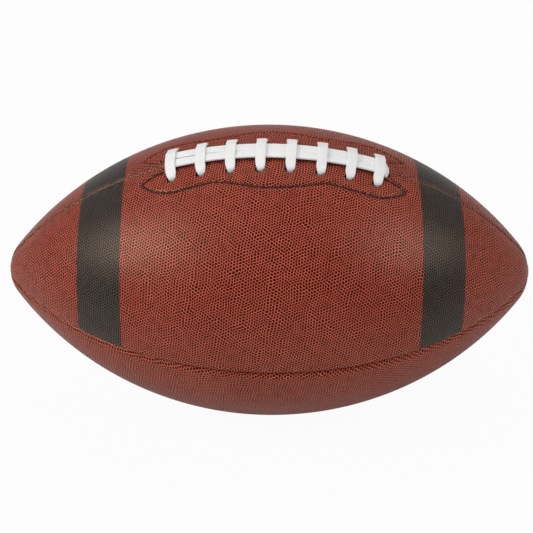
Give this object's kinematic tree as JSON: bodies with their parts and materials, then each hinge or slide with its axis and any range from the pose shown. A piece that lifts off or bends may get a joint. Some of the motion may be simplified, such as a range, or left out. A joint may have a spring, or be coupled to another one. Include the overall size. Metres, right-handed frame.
{
  "type": "american football",
  "caption": "Prolate ball with pebbled brown leather panels sewn over linings and an inflatable bladder, closed by a white lace, with dark printed bands near its noses.",
  "frame": {"origin": "centre of the ball, half way between its noses and on its long axis", "axes": "+X along the ball from nose to nose, +Z out through the lace seam, -Y out through the front seam"},
  "size_m": [0.2826, 0.1576, 0.1611],
  "materials": {
    "panel_leather": "pebbled, tanned red-brown, satin",
    "lining_fabric": "woven cotton, matte",
    "facing_leather": "smooth undyed, matte",
    "brown_thread": "waxed polyester thread",
    "white_lace": "white coated, matte",
    "bladder_rubber": "smooth matte",
    "valve_rubber": "smooth satin"
  },
  "bodies": {
    "root": {"front_lace_panel": "panel_leather", "rear_lace_panel": "panel_leather", "front_lower_panel": "panel_leather", "rear_lower_panel": "panel_leather", "front_lace_lining": "lining_fabric", "rear_lace_lining": "lining_fabric", "front_lower_lining": "lining_fabric", "rear_lower_lining": "lining_fabric", "front_lace_facing": "facing_leather", "rear_lace_facing": "facing_leather", "front_facing_stitching": "brown_thread", "rear_facing_stitching": "brown_thread", "lace_seam_stitching": "brown_thread", "front_seam_stitching": "brown_thread", "rear_seam_stitching": "brown_thread", "bottom_seam_stitching": "brown_thread", "lace": "white_lace", "lace_tongue": "facing_leather", "bladder": "bladder_rubber", "valve_housing": "valve_rubber", "valve_core": "valve_rubber"}
  },
  "joints": []
}
